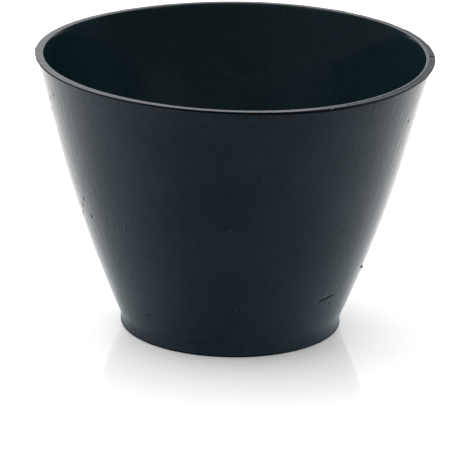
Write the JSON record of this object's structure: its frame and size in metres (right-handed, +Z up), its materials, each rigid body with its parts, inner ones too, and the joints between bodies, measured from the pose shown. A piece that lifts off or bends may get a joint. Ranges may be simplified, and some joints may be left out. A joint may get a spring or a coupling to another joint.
{
  "type": "hair color bowl",
  "caption": "Flexible black rubber mixing bowl with a flared wall, a trimmed rim with a small lip and a short foot ring.",
  "frame": {"origin": "centre of the foot, on the level that the bowl stands on", "axes": "+Z up along the bowl's axis of symmetry; X and Y are equivalent, because the bowl is round"},
  "size_m": [0.125, 0.125, 0.088],
  "materials": {
    "rubber": "satin blue-black moulded rubber, with a paler trimmed rim face"
  },
  "bodies": {
    "root": {"bowl": "rubber"}
  },
  "joints": []
}
